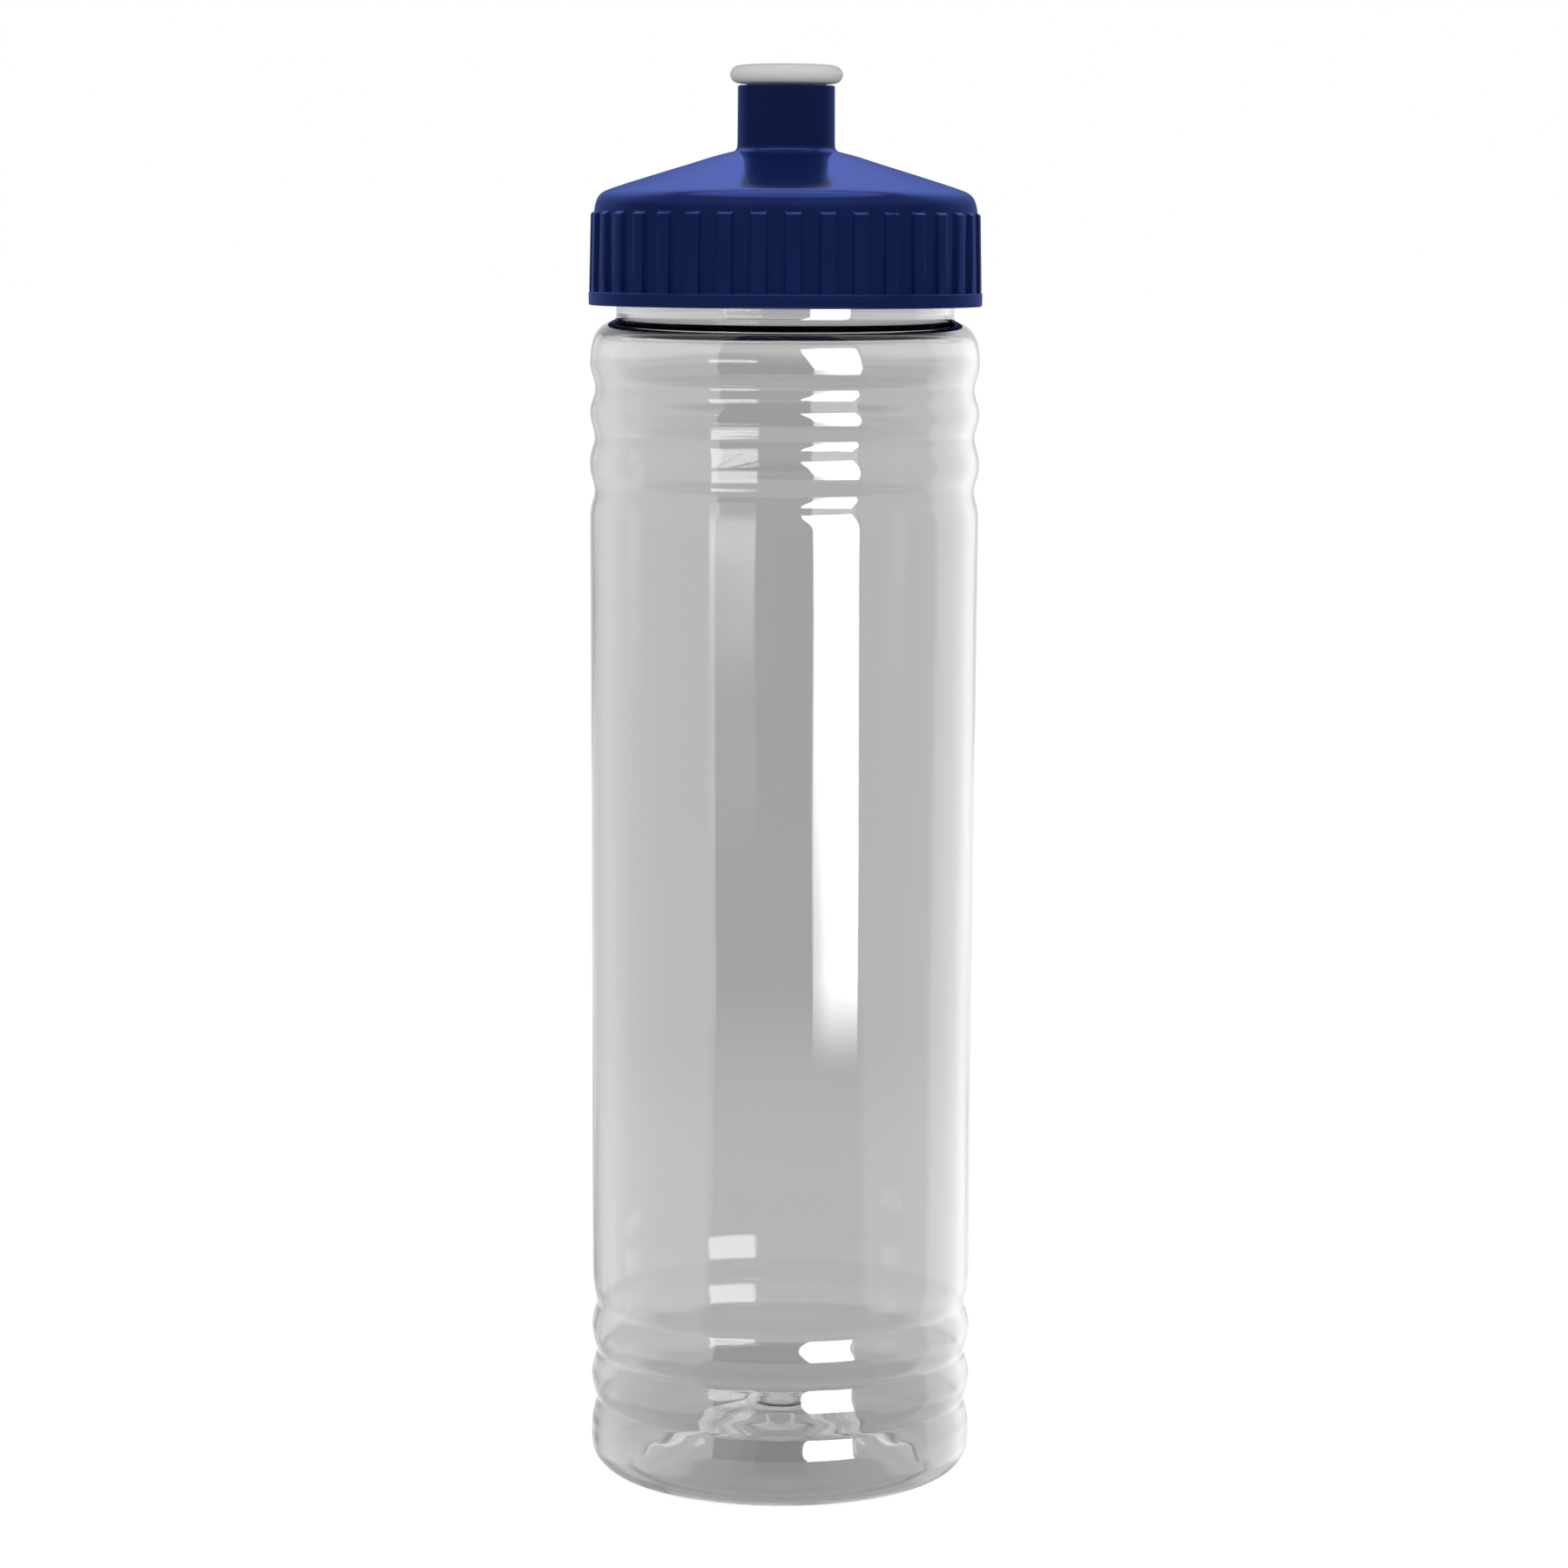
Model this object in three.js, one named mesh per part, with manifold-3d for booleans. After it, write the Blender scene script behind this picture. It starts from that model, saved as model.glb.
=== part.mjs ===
// Sports squeeze bottle, 710 ml class, with a screw lid and a push-pull drinking spout.
//
// Millimetres, +Z up. The origin is the centre of the standing ring, on the surface the
// bottle stands on, and +Z runs up the common axis of every piece.
//
//   bottle_body   blow-moulded clear bottle: pushed-up star base, three grip grooves low
//                 down, three near the shoulder, thick neck finish with one outside thread
//   lid_gasket    flat ring between the bottle's rim and the lid's land
//   screw_lid     skirt with 36 grip ribs and an inside thread, domed cone, spout tube
//   valve_post    snap-in ring with three spokes and the pin that plugs the spout's hole
//   pull_spout    hollow stem with a rolled mouthpiece, slides in the lid's tube
//
// The lid is drawn screwed home and the spout is drawn pushed shut.

import * as THREE from "three";
import { mergeVertices } from "three/addons/utils/BufferGeometryUtils.js";
import Module from "manifold-3d";

const wasm = await Module();
wasm.setup();

// ---------------------------------------------------------------- driving dimensions

const BOTTLE_SEGMENTS = 30; // facets round the bottle, a multiple of BASE_LOBES
const LID_SEGMENTS = 36; // facets round the lid and the gasket
const SPOUT_SEGMENTS = 24; // facets round the spout and its post

// bottle
const STAND_R_IN = 26.0; // standing ring
const STAND_R_OUT = 27.7;
const HEEL_R = 6.5; // radius of the rounded heel
const BASE_R = 34.35;
const BASE_LOBES = 5;
const PUSH_UP = 11.2; // height of the pushed-up base under the gate
const WALL = 0.7;
const LOW_GROOVES = [13.6, 22.3, 31.05]; // heights of the lower grip grooves
const LOW_GROOVE_R = 33.46;
const LOW_BULGE_R = 34.45;
const PANEL_BOTTOM = { r: 34.3, z: 35.6 }; // the long panel widens slightly upwards
const PANEL_TOP = { r: 34.8, z: 173.8 };
const HIGH_GROOVES = [178.0, 187.3, 196.3]; // heights of the upper grip grooves
const HIGH_GROOVE_R = 33.95;
const HIGH_BULGE_R = 34.89;
const SHOULDER_Z = 208.8; // where the shoulder meets the neck
const NECK_R = 30.2;
const NECK_BORE_R = 28.3;
const RIM_Z = 227.0;

// screw thread, right-handed, one start
const PITCH = 5.0;
const THREAD_TURNS = 1.25;
const THREAD_CREST_R = 31.35; // outside thread on the neck
const THREAD_ROOT_W = 2.0;
const THREAD_CREST_W = 0.9;
const THREAD_Z0 = 215.6; // centre of the neck thread at its lower end
const LID_THREAD_CREST_R = 30.7; // inside thread in the lid
const LID_THREAD_DROP = 1.5; // the lid's thread runs this far under the neck's

// gasket
const GASKET_R_IN = 28.0;
const GASKET_R_OUT = 31.5;
const GASKET_Z0 = 227.1;
const GASKET_T = 1.5;

// lid
const LID_Z0 = 211.0; // lower edge of the skirt
const LID_BAND_R = 35.0; // plain band round the lower edge
const LID_BAND_Z = 213.45;
const LID_RECESS_R = 34.05; // between the grip ribs
const LID_RIB_R = 34.8;
const LID_RIB_COUNT = 36;
const LID_RIB_DEG = 5.0; // width of one rib
const LID_RIB_PHASE = 2.2; // the rib nearest the front stands this far round from -Y
const LID_RIB_TOP = 227.6;
const LID_BORE_R = 32.0;
const LID_LAND_Z = 228.7;
const TUBE_R = 8.62;
const TUBE_TOP = 249.8;
const TUBE_BORE_R = 7.45;
const TUBE_LIP_R = 7.15; // lip that stops the spout coming out
const TUBE_LIP_Z = 247.0;
const COLLAR_R = 10.1; // collar under the lid that holds the valve post
const COLLAR_Z0 = 233.5;
const POST_SEAT_R = 8.2;
const POST_SEAT_Z = 235.9;

// valve post
const POST_RING_R_OUT = 8.0;
const POST_RING_R_IN = 6.4;
const POST_RING_Z0 = 234.25;
const POST_RING_Z1 = 235.7;
const PIN_R = 2.45;
const PIN_TOP = 253.3;
const SPOKE_W = 1.6;

// pull spout
const STEM_R = 6.9;
const STEM_BEAD_R = 7.25;
const STEM_BORE_R = 5.5;
const STEM_Z0 = 237.0;
const MOUTH_Z0 = 250.1;
const MOUTH_R = 10.05;
const SPOUT_TOP = 253.5;
const HOLE_R = 2.6;

// ---------------------------------------------------------------- helpers

// A closed geometry as a manifold-3d solid, with its faces pointing out.
function solid(geometry) {
  const g = geometry.index ? geometry.toNonIndexed() : geometry.clone();
  const bare = new THREE.BufferGeometry().setAttribute(
    "position",
    g.getAttribute("position"),
  );
  const merged = mergeVertices(bare, 1e-4);
  const keep = [];
  const ix = merged.index.array;
  for (let i = 0; i < ix.length; i += 3) {
    const [a, b, c] = [ix[i], ix[i + 1], ix[i + 2]];
    if (a !== b && b !== c && a !== c) keep.push(a, b, c);
  }
  const make = (tris) =>
    new wasm.Manifold(
      new wasm.Mesh({
        numProp: 3,
        vertProperties: new Float32Array(merged.attributes.position.array),
        triVerts: new Uint32Array(tris),
      }),
    );
  const made = make(keep);
  if (made.volume() > 0) return made;
  const flipped = [];
  for (let i = 0; i < keep.length; i += 3)
    flipped.push(keep[i], keep[i + 2], keep[i + 1]);
  return make(flipped);
}

function geometryOf(manifold) {
  const m = manifold.getMesh();
  const n = m.numProp;
  const v = new Float32Array(m.numVert * 3);
  for (let i = 0; i < m.numVert; i++)
    v.set(m.vertProperties.subarray(i * n, i * n + 3), i * 3);
  const g = new THREE.BufferGeometry()
    .setAttribute("position", new THREE.BufferAttribute(v, 3))
    .setIndex(new THREE.BufferAttribute(new Uint32Array(m.triVerts), 1));
  g.computeVertexNormals();
  return g;
}

// Profile of [r, z] pairs turned about +Z. It starts and ends on the axis, or closes on itself.
function turned(profile, segments, startDeg = 0) {
  const g = new THREE.LatheGeometry(
    profile.map(([r, z]) => new THREE.Vector2(r, z)),
    segments,
    THREE.MathUtils.degToRad(startDeg),
  );
  g.rotateX(Math.PI / 2);
  return g;
}

// One thread: a trapezoid swept along a right-handed helix about +Z. rootR is buried in the
// wall, crestR is the free edge, and both ends run out over leadDeg.
function thread({ rootR, crestR, rootW, crestW, z0, turns, fromDeg, perTurn }) {
  const steps = Math.round(perTurn * turns);
  const h = crestR - rootR;
  const s = Math.sign(h);
  const section = new THREE.Shape([
    new THREE.Vector2(0, -rootW / 2),
    new THREE.Vector2(Math.abs(h), -crestW / 2),
    new THREE.Vector2(Math.abs(h), crestW / 2),
    new THREE.Vector2(0, rootW / 2),
  ]);
  const g = new THREE.ExtrudeGeometry(section, {
    depth: 1,
    steps,
    bevelEnabled: false,
  });
  const p = g.getAttribute("position");
  for (let i = 0; i < p.count; i++) {
    const u = p.getX(i);
    const v = p.getY(i);
    const w = p.getZ(i);
    const end = Math.min(1, Math.min(w, 1 - w) * steps * 0.5 + 0.35);
    const a = THREE.MathUtils.degToRad(fromDeg) + w * turns * 2 * Math.PI;
    const r = rootR + s * u * end;
    p.setXYZ(
      i,
      r * Math.cos(a),
      r * Math.sin(a),
      z0 + v + w * turns * PITCH,
    );
  }
  return solid(g);
}

const parts = new THREE.Group();
parts.name = "sports_squeeze_bottle";

function piece(name, manifold, color, roughness, extra = {}) {
  const material = new THREE.MeshStandardMaterial({
    color,
    roughness,
    metalness: 0,
    ...extra,
  });
  const mesh = new THREE.Mesh(geometryOf(manifold), material);
  mesh.name = name;
  parts.add(mesh);
  return mesh;
}

// ---------------------------------------------------------------- bottle_body

const midBulge = (a, b) => (a + b) / 2;
const bottleOutside = [
  [0, PUSH_UP - 0.5],
  [3.0, PUSH_UP],
  [8.5, PUSH_UP - 1.2],
  [14.5, PUSH_UP - 4.0],
  [19.5, PUSH_UP - 7.3],
  [23.5, 1.3],
  [STAND_R_IN, 0],
  [STAND_R_OUT, 0],
  ...[30, 60, 90].map((deg) => {
    const t = THREE.MathUtils.degToRad(deg);
    return [
      STAND_R_OUT + HEEL_R * Math.sin(t),
      HEEL_R - HEEL_R * Math.cos(t),
    ];
  }),
  [BASE_R, 10.2],
  [LOW_GROOVE_R + 0.55, LOW_GROOVES[0] - 1.7],
  [LOW_GROOVE_R, LOW_GROOVES[0]],
  [LOW_GROOVE_R + 0.6, LOW_GROOVES[0] + 1.5],
  [LOW_BULGE_R, midBulge(LOW_GROOVES[0], LOW_GROOVES[1])],
  [LOW_GROOVE_R + 0.6, LOW_GROOVES[1] - 1.5],
  [LOW_GROOVE_R, LOW_GROOVES[1]],
  [LOW_GROOVE_R + 0.6, LOW_GROOVES[1] + 1.5],
  [LOW_BULGE_R, midBulge(LOW_GROOVES[1], LOW_GROOVES[2])],
  [LOW_GROOVE_R + 0.6, LOW_GROOVES[2] - 1.5],
  [LOW_GROOVE_R, LOW_GROOVES[2]],
  [LOW_GROOVE_R + 0.55, LOW_GROOVES[2] + 1.5],
  [PANEL_BOTTOM.r, PANEL_BOTTOM.z],
  [PANEL_TOP.r, PANEL_TOP.z],
  [HIGH_GROOVE_R, HIGH_GROOVES[0]],
  [midBulge(HIGH_GROOVE_R, HIGH_BULGE_R), HIGH_GROOVES[0] + 2.3],
  [HIGH_BULGE_R, midBulge(HIGH_GROOVES[0], HIGH_GROOVES[1])],
  [midBulge(HIGH_GROOVE_R, HIGH_BULGE_R), HIGH_GROOVES[1] - 2.3],
  [HIGH_GROOVE_R, HIGH_GROOVES[1]],
  [midBulge(HIGH_GROOVE_R, HIGH_BULGE_R), HIGH_GROOVES[1] + 2.3],
  [HIGH_BULGE_R, midBulge(HIGH_GROOVES[1], HIGH_GROOVES[2])],
  [midBulge(HIGH_GROOVE_R, HIGH_BULGE_R), HIGH_GROOVES[2] - 2.3],
  [HIGH_GROOVE_R, HIGH_GROOVES[2]],
  [midBulge(HIGH_GROOVE_R, HIGH_BULGE_R), HIGH_GROOVES[2] + 2.3],
  [HIGH_BULGE_R, 200.6],
  [34.75, 203.2],
  [34.2, 205.2],
  [33.0, 207.0],
  [31.3, 208.3],
  [NECK_R, SHOULDER_Z],
  [NECK_R, RIM_Z - 0.4],
  [NECK_R - 0.4, RIM_Z],
];
const bottleInside = [
  [NECK_BORE_R + 0.3, RIM_Z],
  [NECK_BORE_R, RIM_Z - 0.4],
  [NECK_BORE_R, 210.4],
  [28.7, 208.5],
  [31.3, 207.1],
  [33.1, 205.2],
  [34.0, 203.0],
  [HIGH_BULGE_R - WALL, 200.6],
  [HIGH_GROOVE_R - WALL, HIGH_GROOVES[2]],
  [HIGH_BULGE_R - WALL, midBulge(HIGH_GROOVES[1], HIGH_GROOVES[2])],
  [HIGH_GROOVE_R - WALL, HIGH_GROOVES[1]],
  [HIGH_BULGE_R - WALL, midBulge(HIGH_GROOVES[0], HIGH_GROOVES[1])],
  [HIGH_GROOVE_R - WALL, HIGH_GROOVES[0]],
  [PANEL_TOP.r - WALL, PANEL_TOP.z - 0.4],
  [PANEL_BOTTOM.r - WALL, PANEL_BOTTOM.z],
  [LOW_GROOVE_R - WALL, LOW_GROOVES[2]],
  [LOW_BULGE_R - WALL, midBulge(LOW_GROOVES[1], LOW_GROOVES[2])],
  [LOW_GROOVE_R - WALL, LOW_GROOVES[1]],
  [LOW_BULGE_R - WALL, midBulge(LOW_GROOVES[0], LOW_GROOVES[1])],
  [LOW_GROOVE_R - WALL, LOW_GROOVES[0]],
  [BASE_R - 0.8, 9.9],
  [BASE_R - 0.8, 6.6],
  [32.4, 3.4],
  [30.0, 1.5],
  [27.6, 1.0],
  [25.9, 1.2],
  [23.9, 2.4],
  [19.9, PUSH_UP - 5.9],
  [14.9, PUSH_UP - 2.5],
  [8.7, PUSH_UP + 0.4],
  [3.0, PUSH_UP + 1.7],
  [0, PUSH_UP + 1.7],
];
const bottleShell = turned([...bottleOutside, ...bottleInside], BOTTLE_SEGMENTS);
{
  // five shallow valleys run out from the gate and turn the pushed-up base into a star
  const p = bottleShell.getAttribute("position");
  for (let i = 0; i < p.count; i++) {
    const [x, y, z] = [p.getX(i), p.getY(i), p.getZ(i)];
    const r = Math.hypot(x, y);
    if (z > 14 || r < 4 || r > 25.5) continue;
    const reach = Math.sin((Math.PI * (r - 4)) / 21.5);
    const wave = 0.5 - 0.5 * Math.cos(BASE_LOBES * Math.atan2(y, x));
    p.setZ(i, z - 1.5 * reach * wave * Math.min(1, r / 12));
  }
}
const neckThread = thread({
  rootR: NECK_R - 0.5,
  crestR: THREAD_CREST_R,
  rootW: THREAD_ROOT_W,
  crestW: THREAD_CREST_W,
  z0: THREAD_Z0,
  turns: THREAD_TURNS,
  fromDeg: 12,
  perTurn: 30,
});
piece(
  "bottle_body",
  solid(bottleShell).add(neckThread),
  0xd9dcdc,
  0.05,
  { transparent: true, opacity: 0.35 },
);

// ---------------------------------------------------------------- lid_gasket

const gasket = turned(
  [
    [GASKET_R_IN, GASKET_Z0],
    [GASKET_R_OUT, GASKET_Z0],
    [GASKET_R_OUT, GASKET_Z0 + GASKET_T],
    [GASKET_R_IN, GASKET_Z0 + GASKET_T],
    [GASKET_R_IN, GASKET_Z0],
  ],
  LID_SEGMENTS,
);
piece("lid_gasket", solid(gasket), 0xe8e8e4, 0.6);

// ---------------------------------------------------------------- screw_lid

const lidOutside = turned(
  [
    [0, LID_Z0],
    [LID_BAND_R, LID_Z0],
    [LID_BAND_R, LID_BAND_Z],
    [LID_RECESS_R - 0.05, LID_BAND_Z],
    [LID_RECESS_R - 0.05, 228.0],
    [33.74, 229.15],
    [33.3, 230.15],
    [32.5, 230.95],
    [31.2, 231.5],
    [24.1, 233.85],
    [17.8, 235.8],
    [12.2, 237.45],
    [9.7, 238.1],
    [8.9, 238.7],
    [TUBE_R + 0.05, 239.5],
    [TUBE_R - 0.07, TUBE_TOP - 0.25],
    [TUBE_R - 0.3, TUBE_TOP],
    [0, TUBE_TOP],
  ],
  LID_SEGMENTS,
);
const lidInside = turned(
  [
    [0, LID_Z0 - 2],
    [LID_BORE_R + 0.6, LID_Z0 - 2],
    [LID_BORE_R + 0.6, LID_Z0],
    [LID_BORE_R, LID_Z0 + 1.0],
    [LID_BORE_R, LID_LAND_Z],
    [27.2, LID_LAND_Z],
    [26.6, 229.95],
    [12.2, 235.35],
    [COLLAR_R + 0.3, 235.65],
    [COLLAR_R, COLLAR_Z0],
    [POST_SEAT_R - 0.4, COLLAR_Z0],
    [POST_SEAT_R - 0.4, COLLAR_Z0 + 0.35],
    [POST_SEAT_R, COLLAR_Z0 + 0.6],
    [POST_SEAT_R, POST_SEAT_Z],
    [TUBE_BORE_R, POST_SEAT_Z],
    [TUBE_BORE_R, TUBE_LIP_Z],
    [TUBE_LIP_R, TUBE_LIP_Z + 0.3],
    [TUBE_LIP_R, TUBE_TOP + 1],
    [0, TUBE_TOP + 1],
  ],
  LID_SEGMENTS,
);
const ribOutline = new THREE.Shape();
for (let i = 0; i < LID_RIB_COUNT; i++) {
  const middle = -90 + LID_RIB_PHASE + (360 / LID_RIB_COUNT) * i;
  for (const [off, r] of [
    [-LID_RIB_DEG / 2, LID_RECESS_R],
    [-LID_RIB_DEG / 2 + 0.35, LID_RIB_R],
    [LID_RIB_DEG / 2 - 0.35, LID_RIB_R],
    [LID_RIB_DEG / 2, LID_RECESS_R],
  ]) {
    const a = THREE.MathUtils.degToRad(middle + off);
    const [x, y] = [r * Math.cos(a), r * Math.sin(a)];
    if (i === 0 && off === -LID_RIB_DEG / 2) ribOutline.moveTo(x, y);
    else ribOutline.lineTo(x, y);
  }
}
ribOutline.closePath();
const ribs = new THREE.ExtrudeGeometry(ribOutline, {
  depth: LID_RIB_TOP - LID_BAND_Z + 0.6,
  bevelEnabled: false,
});
ribs.translate(0, 0, LID_BAND_Z - 0.6);
const lidThread = thread({
  rootR: LID_BORE_R + 0.5,
  crestR: LID_THREAD_CREST_R,
  rootW: THREAD_ROOT_W,
  crestW: THREAD_CREST_W,
  z0: THREAD_Z0 - LID_THREAD_DROP,
  turns: THREAD_TURNS,
  fromDeg: 12,
  perTurn: 36,
});
piece(
  "screw_lid",
  solid(lidOutside).add(solid(ribs)).subtract(solid(lidInside)).add(lidThread),
  0x13205a,
  0.25,
);

// ---------------------------------------------------------------- valve_post

const postRing = turned(
  [
    [POST_RING_R_IN, POST_RING_Z0],
    [POST_RING_R_OUT, POST_RING_Z0],
    [POST_RING_R_OUT, POST_RING_Z1],
    [POST_RING_R_IN, POST_RING_Z1],
    [POST_RING_R_IN, POST_RING_Z0],
  ],
  SPOUT_SEGMENTS,
);
const pin = turned(
  [
    [0, POST_RING_Z0],
    [PIN_R, POST_RING_Z0],
    [PIN_R, PIN_TOP - 0.5],
    [PIN_R - 0.5, PIN_TOP],
    [0, PIN_TOP],
  ],
  SPOUT_SEGMENTS,
);
let post = solid(postRing).add(solid(pin));
for (let i = 0; i < 3; i++) {
  const spoke = new THREE.BoxGeometry(
    POST_RING_R_IN + 0.4 - 1.0,
    SPOKE_W,
    POST_RING_Z1 - POST_RING_Z0,
  );
  spoke.translate(
    1.0 + (POST_RING_R_IN + 0.4 - 1.0) / 2,
    0,
    (POST_RING_Z1 + POST_RING_Z0) / 2,
  );
  spoke.rotateZ(THREE.MathUtils.degToRad(90 + 120 * i));
  post = post.add(solid(spoke));
}
piece("valve_post", post, 0x13205a, 0.35);

// ---------------------------------------------------------------- pull_spout

const spout = turned(
  [
    [0, SPOUT_TOP - 1.9],
    [HOLE_R, SPOUT_TOP - 1.9],
    [HOLE_R, SPOUT_TOP],
    [5.5, SPOUT_TOP - 0.05],
    [8.9, SPOUT_TOP - 0.35],
    [9.65, SPOUT_TOP - 0.85],
    [MOUTH_R, SPOUT_TOP - 1.75],
    [9.75, SPOUT_TOP - 2.8],
    [9.1, SPOUT_TOP - 3.35],
    [8.2, MOUTH_Z0],
    [STEM_R, MOUTH_Z0],
    [STEM_R, STEM_Z0 + 1.6],
    [STEM_BEAD_R, STEM_Z0 + 1.3],
    [STEM_BEAD_R, STEM_Z0 + 0.5],
    [STEM_R, STEM_Z0],
    [STEM_BORE_R, STEM_Z0],
    [STEM_BORE_R, SPOUT_TOP - 2.9],
    [STEM_BORE_R - 1.0, SPOUT_TOP - 1.9],
    [HOLE_R, SPOUT_TOP - 1.9],
  ].slice(1),
  SPOUT_SEGMENTS,
);
piece("pull_spout", solid(spout), 0xc9c9c7, 0.35);

export default parts;
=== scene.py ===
import math

import bmesh
import bpy
import numpy as np
from mathutils import Matrix, Vector


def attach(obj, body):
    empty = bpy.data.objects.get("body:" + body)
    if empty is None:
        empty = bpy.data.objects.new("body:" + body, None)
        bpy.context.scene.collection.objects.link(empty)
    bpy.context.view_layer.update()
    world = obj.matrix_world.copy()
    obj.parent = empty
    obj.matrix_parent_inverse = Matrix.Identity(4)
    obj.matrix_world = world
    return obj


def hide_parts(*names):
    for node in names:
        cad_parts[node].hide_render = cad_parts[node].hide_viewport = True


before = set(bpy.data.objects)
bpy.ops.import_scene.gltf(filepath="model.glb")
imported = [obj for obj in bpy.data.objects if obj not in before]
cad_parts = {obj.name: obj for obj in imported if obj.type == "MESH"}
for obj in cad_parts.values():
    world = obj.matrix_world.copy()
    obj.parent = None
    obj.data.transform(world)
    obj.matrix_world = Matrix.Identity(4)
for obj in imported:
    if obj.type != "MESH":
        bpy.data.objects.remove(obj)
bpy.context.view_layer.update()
MM = 0.001

# ------------------------------------------------------------------ dimensions, mm
STAND_R = 27.5
HEEL_R = 6.88
HEEL_H = 5.62
PUSH_UP = 11.2
LOBES = 5
NECK_R = 30.2
NECK_BORE_R = 28.3
RIM_Z = 227.0
PITCH = 5.0
TURNS = 1.25
THREAD_FROM = 12.0
THREAD_Z0 = 215.6
THREAD_CREST_R = 31.35
LID_THREAD_CREST_R = 30.7
LID_THREAD_DROP = 1.5
LID_BORE_R = 32.0
LID_LAND_Z = 228.7
RIBS = 36
RIB_PHASE = 2.2
PIN_R = 2.45

# ------------------------------------------------------------------ mesh helpers


def smoothstep(a, b, x):
    t = min(1.0, max(0.0, (x - a) / (b - a)))
    return t * t * (3 - 2 * t)


def polyline(points, step, sigma):
    """points resampled every step mm along their length, then softened by a gaussian of sigma mm."""
    p = np.array(points, float)
    d = np.r_[0, np.cumsum(np.hypot(*np.diff(p, axis=0).T))]
    n = max(2, int(round(d[-1] / step)))
    t = np.linspace(0, d[-1], n + 1)
    q = np.c_[np.interp(t, d, p[:, 0]), np.interp(t, d, p[:, 1])]
    if sigma > 0:
        s = sigma / (d[-1] / n)
        k = int(math.ceil(3 * s))
        w = np.exp(-0.5 * (np.arange(-k, k + 1) / s) ** 2)
        w /= w.sum()
        # ends mirrored through their points, so they stay where they are
        head = 2 * q[0] - q[1 : k + 1][::-1]
        tail = 2 * q[-1] - q[-k - 1 : -1][::-1]
        r = np.vstack([head, q, tail])
        q = np.c_[
            np.convolve(r[:, 0], w, "valid"),
            np.convolve(r[:, 1], w, "valid"),
        ]
    return [tuple(v) for v in q]


def pick(points, spacing):
    """Every point of a fine line that lies at least spacing(z) from the one kept before."""
    kept = [points[0]]
    for p in points[1:-1]:
        if math.dist(p, kept[-1]) >= spacing(p[1]) - 1e-9:
            kept.append(p)
    if math.dist(points[-1], kept[-1]) < 0.3 * spacing(points[-1][1]) and len(kept) > 1:
        kept.pop()
    kept.append(points[-1])
    return kept


def arc(cx, cz, r, a0, a1, n):
    return [
        (
            cx + r * math.cos(math.radians(a0 + (a1 - a0) * i / n)),
            cz + r * math.sin(math.radians(a0 + (a1 - a0) * i / n)),
        )
        for i in range(n + 1)
    ]


def revolve(name, rows, angles, shape=None, loop=False, sharp=35):
    """A closed body of revolution. rows are (r, z) in mm, outside first; one at r 0 is a pole.
    angles are in degrees. shape(row, r, z, angle) gives back (r, z). loop closes the profile."""
    verts, index = [], []
    for i, (r, z) in enumerate(rows):
        if r < 1e-6:
            z2 = shape(i, 0.0, z, 0.0)[1] if shape else z
            index.append([len(verts)] * len(angles))
            verts.append((0, 0, z2 * MM))
            continue
        ring = []
        for a in angles:
            rr, zz = shape(i, r, z, a) if shape else (r, z)
            c, s = math.cos(math.radians(a)), math.sin(math.radians(a))
            ring.append(len(verts))
            verts.append((rr * c * MM, rr * s * MM, zz * MM))
        index.append(ring)
    faces = []
    n, m = len(rows), len(angles)
    for i in range(n if loop else n - 1):
        a, b = index[i], index[(i + 1) % n]
        for j in range(m):
            k = (j + 1) % m
            quad = [a[j], a[k], b[k], b[j]]
            face = [v for q, v in enumerate(quad) if v != quad[q - 1]]
            if len(face) >= 3:
                faces.append(face)
    me = bpy.data.meshes.new(name)
    me.from_pydata(verts, [], faces)
    bm = bmesh.new()
    bm.from_mesh(me)
    bmesh.ops.recalc_face_normals(bm, faces=bm.faces)
    if bm.calc_volume(signed=True) < 0:
        bmesh.ops.reverse_faces(bm, faces=bm.faces)
    bm.to_mesh(me)
    bm.free()
    me.shade_smooth()
    me.set_sharp_from_angle(angle=math.radians(sharp))
    ob = bpy.data.objects.new(name, me)
    bpy.context.scene.collection.objects.link(ob)
    return ob


def even(n, start=0.0):
    return [start + 360.0 * i / n for i in range(n)]


def thread_height(angle, z, z0, root_w=2.0, crest_w=0.9):
    """0 to 1: how far the thread stands out at this angle and height."""
    best = 0.0
    lead = (angle - THREAD_FROM) % 360.0
    for k in range(int(math.ceil(TURNS)) + 1):
        a = lead + 360.0 * k
        if a > 360.0 * TURNS:
            break
        d = abs(z - (z0 + PITCH * a / 360.0))
        h = (root_w / 2 - d) / (root_w / 2 - crest_w / 2)
        h = smoothstep(0, 1, min(1.0, max(0.0, h)))
        end = smoothstep(0, 22, a) * smoothstep(0, 22, 360.0 * TURNS - a)
        best = max(best, h * end)
    return best


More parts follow.
